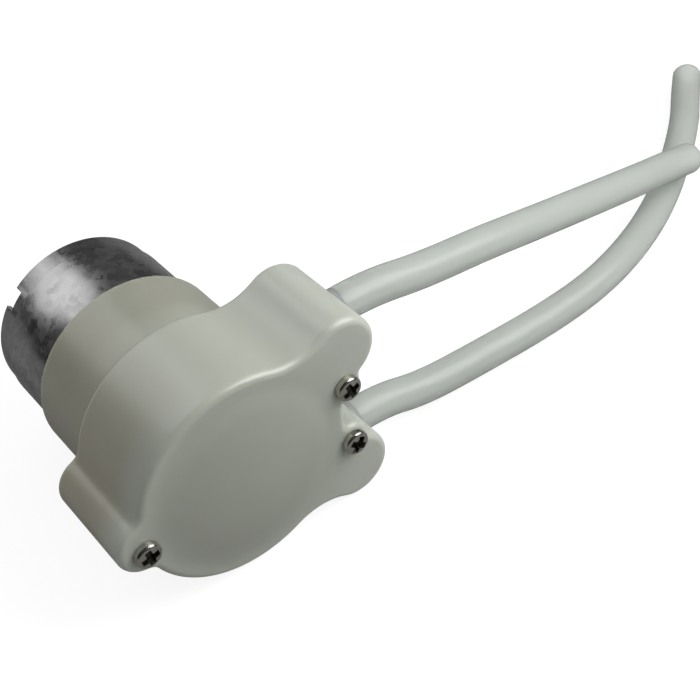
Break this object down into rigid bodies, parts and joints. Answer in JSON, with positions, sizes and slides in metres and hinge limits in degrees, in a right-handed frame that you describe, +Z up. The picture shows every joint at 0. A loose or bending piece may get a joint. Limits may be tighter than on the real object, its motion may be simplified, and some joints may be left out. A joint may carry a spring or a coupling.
{
  "type": "mini peristaltic pump",
  "caption": "Mini peristaltic pump: roller head in a milky plastic housing, round DC motor in a cup at its back, and two silicone tube ends.",
  "frame": {"origin": "under the middle of the pump, free tubes left out, on the surface that it lies on", "axes": "+Y along the pump's axis towards the motor's terminals, +X towards the side where the tubes leave, +Z up"},
  "size_m": [0.1347, 0.044, 0.0292],
  "materials": {
    "housing": "satin",
    "tubing": "satin",
    "screws": "polished",
    "can": "satin",
    "flux_band": "satin",
    "end_cap": "matte",
    "tags": "satin",
    "brush_metal": "satin",
    "magnet": "matte",
    "spring_steel": "satin",
    "bronze": "matte",
    "shaft_steel": "polished",
    "sleeve": "matte",
    "laminations": "satin",
    "enamelled_wire": "gloss",
    "copper": "satin",
    "carrier": "matte",
    "rollers": "gloss"
  },
  "bodies": {
    "pump": {"pump_base": "housing", "pump_cover": "housing", "cover_bush": "bronze", "cover_screws": "screws", "tube_loop": "tubing", "tube_upper": "tubing", "tube_lower": "tubing", "motor_can": "can", "flux_ring": "flux_band", "motor_end_cap": "end_cap", "motor_terminals": "tags", "brush_arms": "brush_metal", "magnets": "magnet", "magnet_clip": "spring_steel", "front_bearing": "bronze", "rear_bearing": "bronze", "motor_screws": "screws"},
    "rotor": {"motor_shaft": "shaft_steel", "drive_sleeve": "sleeve", "armature_core": "laminations", "windings": "enamelled_wire", "commutator": "copper"},
    "carrier": {"carrier_rear": "carrier", "carrier_front": "carrier", "roller_pins": "shaft_steel"},
    "roller_one": {"roller_1": "rollers"},
    "roller_two": {"roller_2": "rollers"},
    "roller_three": {"roller_3": "rollers"}
  },
  "joints": [
    {"name": "shaft_spin", "type": "hinge", "parent": "pump", "child": "rotor", "pos_m": [-0.0012, 0, 0.0146], "axis": [0, 1, 0], "continuous": true, "deforming": ["tube_loop"]},
    {"name": "carrier_spin", "type": "hinge", "parent": "pump", "child": "carrier", "pos_m": [-0.0012, 0, 0.0146], "axis": [0, 1, 0], "continuous": true, "deforming": ["tube_loop"]},
    {"name": "roller_1_spin", "type": "hinge", "parent": "carrier", "child": "roller_one", "pos_m": [0.0021, 0, 0.02032], "axis": [0, 1, 0], "continuous": true},
    {"name": "roller_2_spin", "type": "hinge", "parent": "carrier", "child": "roller_two", "pos_m": [-0.0078, 0, 0.0146], "axis": [0, 1, 0], "continuous": true},
    {"name": "roller_3_spin", "type": "hinge", "parent": "carrier", "child": "roller_three", "pos_m": [0.0021, 0, 0.00888], "axis": [0, 1, 0], "continuous": true}
  ],
  "couplings": [
    {"joint": "carrier_spin", "follows": "shaft_spin", "ratio": 0.19697},
    {"joint": "roller_1_spin", "follows": "shaft_spin", "ratio": -0.52197},
    {"joint": "roller_2_spin", "follows": "shaft_spin", "ratio": -0.52197},
    {"joint": "roller_3_spin", "follows": "shaft_spin", "ratio": -0.52197}
  ]
}
